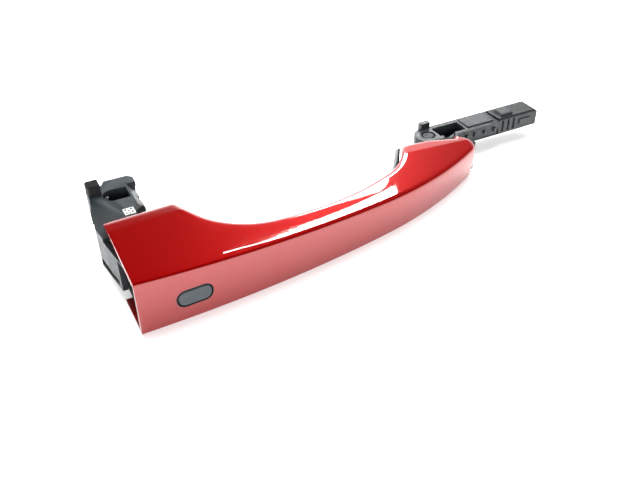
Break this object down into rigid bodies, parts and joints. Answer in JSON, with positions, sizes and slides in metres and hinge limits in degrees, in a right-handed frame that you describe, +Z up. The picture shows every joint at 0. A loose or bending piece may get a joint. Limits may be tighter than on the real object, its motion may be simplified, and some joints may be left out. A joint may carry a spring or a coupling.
{
  "type": "car door handle",
  "caption": "Outer pull handle of a car door: painted cover, back cover, slotted hook arm, hinged arm with harness connector, push button and antenna.",
  "frame": {"origin": "the hinge pivot's axis, at the shoulder of the pivot pin (level with the underside of the hinge arm)", "axes": "+X along the grip from the hook end towards the hinge end, +Y from the street towards the door, +Z up along the pivot"},
  "size_m": [0.2676, 0.086, 0.0345],
  "materials": {
    "candy_red_paint": "ABS with candy red metallic paint under clear coat",
    "grained_black_plastic": "fine grain",
    "carrier_plastic": "moulded, glass filled",
    "arm_nylon": "moulded, glass filled, satin",
    "hinge_nylon": "moulded, glass filled, satin",
    "bumper_rubber": "matt",
    "label_paper": "printed sticker",
    "gasket_rubber": "matt",
    "pin_steel": "ground",
    "bush_acetal": "turned",
    "screw_steel": "zinc plated",
    "insert_brass": "knurled",
    "button_plastic": "satin, fine grain",
    "seal_rubber": "matt",
    "switch_plastic": "moulded",
    "plunger_plastic": "moulded",
    "board_laminate": "solder mask",
    "chip_resin": "moulded",
    "plug_nylon": "natural",
    "ferrite": "ground",
    "bobbin_plastic": "moulded",
    "copper_winding": "enamelled wire",
    "cable_jacket": "satin jacket",
    "connector_plastic": "moulded",
    "pin_tin": "tin plated",
    "seal_silicone": "silicone",
    "lock_plastic": "moulded"
  },
  "bodies": {
    "door_side": {"pivot_pin": "pin_steel"},
    "handle": {"outer_cover": "candy_red_paint", "grip_back_cover": "grained_black_plastic", "grip_carrier": "carrier_plastic", "rear_hook_arm": "arm_nylon", "hook_bumper": "bumper_rubber", "part_label": "label_paper", "front_hinge_arm": "hinge_nylon", "front_foot_gasket": "gasket_rubber", "pivot_bushes": "bush_acetal", "cover_screws": "screw_steel", "hook_screws": "screw_steel", "hinge_arm_screws": "screw_steel", "threaded_inserts": "insert_brass", "button_seal": "seal_rubber", "button_frame": "carrier_plastic", "switch_body": "switch_plastic", "switch_board": "board_laminate", "board_components": "chip_resin", "board_plug": "plug_nylon", "antenna_rod": "ferrite", "antenna_bobbin": "bobbin_plastic", "antenna_winding": "copper_winding", "antenna_tray": "carrier_plastic", "antenna_leads": "copper_winding", "harness_cable": "cable_jacket", "cable_grommet": "gasket_rubber", "connector_housing": "connector_plastic", "connector_pins": "pin_tin", "connector_seal": "seal_silicone", "connector_lock": "lock_plastic"},
    "button": {"button_cap": "button_plastic"},
    "plunger": {"switch_plunger": "plunger_plastic"}
  },
  "joints": [
    {"name": "handle_pull", "type": "hinge", "parent": "door_side", "child": "handle", "pos_m": [0, 0, 0], "axis": [0, 0, 1], "range_deg": [0, 12]},
    {"name": "button_press", "type": "slide", "parent": "handle", "child": "button", "axis": [0, 1, 0], "range_m": [0, 0.0006], "stiffness_N_per_m": 2000, "springref_m": -0.0003},
    {"name": "plunger_press", "type": "slide", "parent": "handle", "child": "plunger", "axis": [0, 1, 0], "range_m": [0, 0.0006]}
  ],
  "couplings": [
    {"joint": "plunger_press", "follows": "button_press", "ratio": 1}
  ]
}
